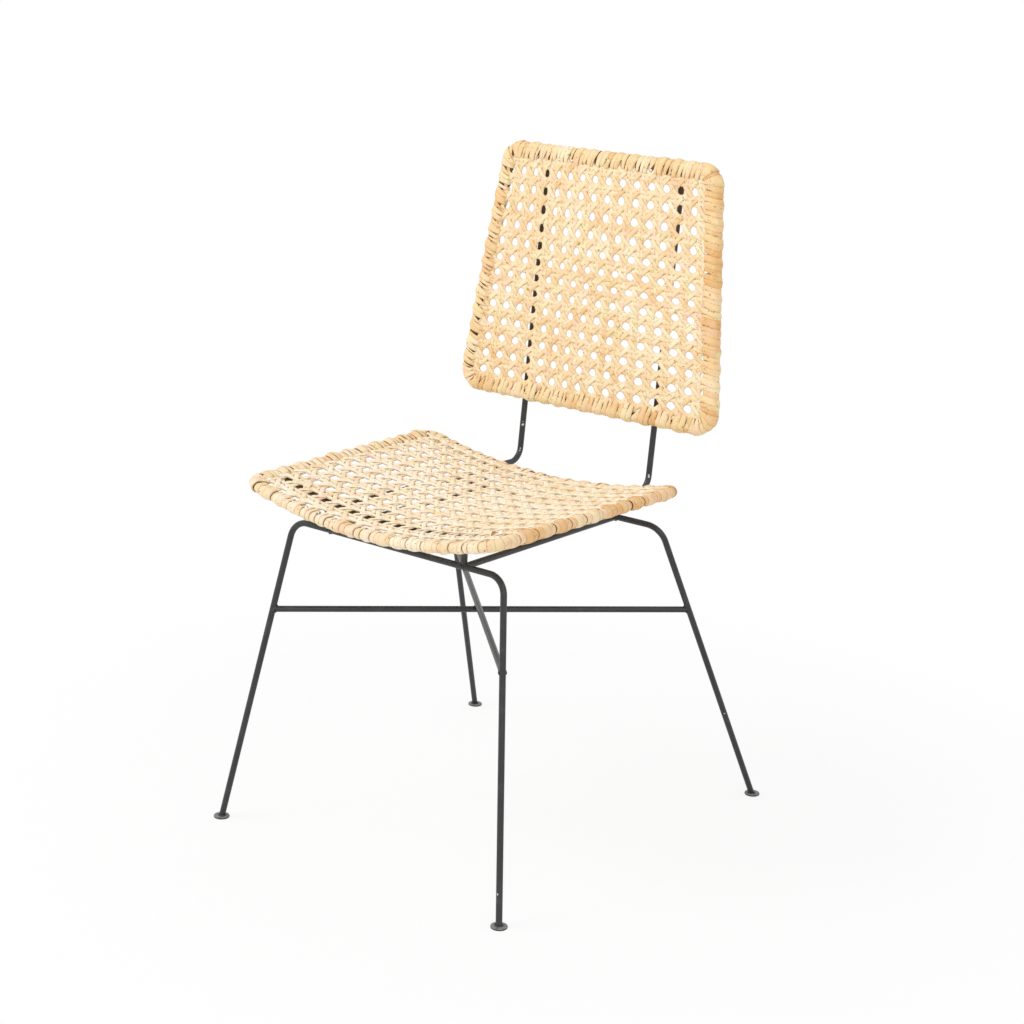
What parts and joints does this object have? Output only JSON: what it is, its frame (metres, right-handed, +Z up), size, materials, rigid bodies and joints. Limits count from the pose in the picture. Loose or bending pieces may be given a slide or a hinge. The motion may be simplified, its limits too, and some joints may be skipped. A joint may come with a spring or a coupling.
{
  "type": "rattan chair",
  "caption": "Armless side chair: bent black steel rods with splayed legs and crossed stretchers carry a dished seat and a tapered, leaning back, both of open cane weave wrapped on rattan poles",
  "frame": {"origin": "on the floor, in the middle of the chair's outer box, between the four feet", "axes": "+Z up; -Y is the front of the chair, where the sitter's knees are; +X is to the right as the chair is seen from the front"},
  "size_m": [0.5066, 0.5706, 0.8555],
  "materials": {
    "black_rod": "satin black paint on steel rod, chipped white in a few places",
    "cane_weave": "light straw cane core, matt, with small colour changes from strand to strand",
    "rattan_pole": "honey coloured rattan pole, satin",
    "rattan_peel": "flat rattan peel, satin, amber where it turns round the edge"
  },
  "bodies": {
    "root": {"front_leg_frame": "black_rod", "rear_leg_frame": "black_rod", "foot_disc_front_left": "black_rod", "foot_disc_front_right": "black_rod", "foot_disc_rear_left": "black_rod", "foot_disc_rear_right": "black_rod", "stretcher_from_front_left": "black_rod", "stretcher_from_front_right": "black_rod", "seat_rail_left": "black_rod", "seat_rail_right": "black_rod", "riser_front_left": "black_rod", "riser_front_right": "black_rod", "riser_rear_left": "black_rod", "riser_rear_right": "black_rod", "back_upright_left": "black_rod", "back_upright_right": "black_rod", "seat_front_bow": "black_rod", "seat_edge_pole": "rattan_pole", "seat_cane_weave": "cane_weave", "seat_edge_wrapping": "rattan_peel", "back_edge_pole": "rattan_pole", "back_cane_weave": "cane_weave", "back_edge_wrapping": "rattan_peel", "back_tie_lower_left": "rattan_peel", "back_tie_lower_right": "rattan_peel", "back_tie_upper_left": "rattan_peel", "back_tie_upper_right": "rattan_peel", "seat_tie_front_left": "rattan_peel", "seat_tie_front_right": "rattan_peel", "seat_tie_rear_left": "rattan_peel", "seat_tie_rear_right": "rattan_peel"}
  },
  "joints": []
}
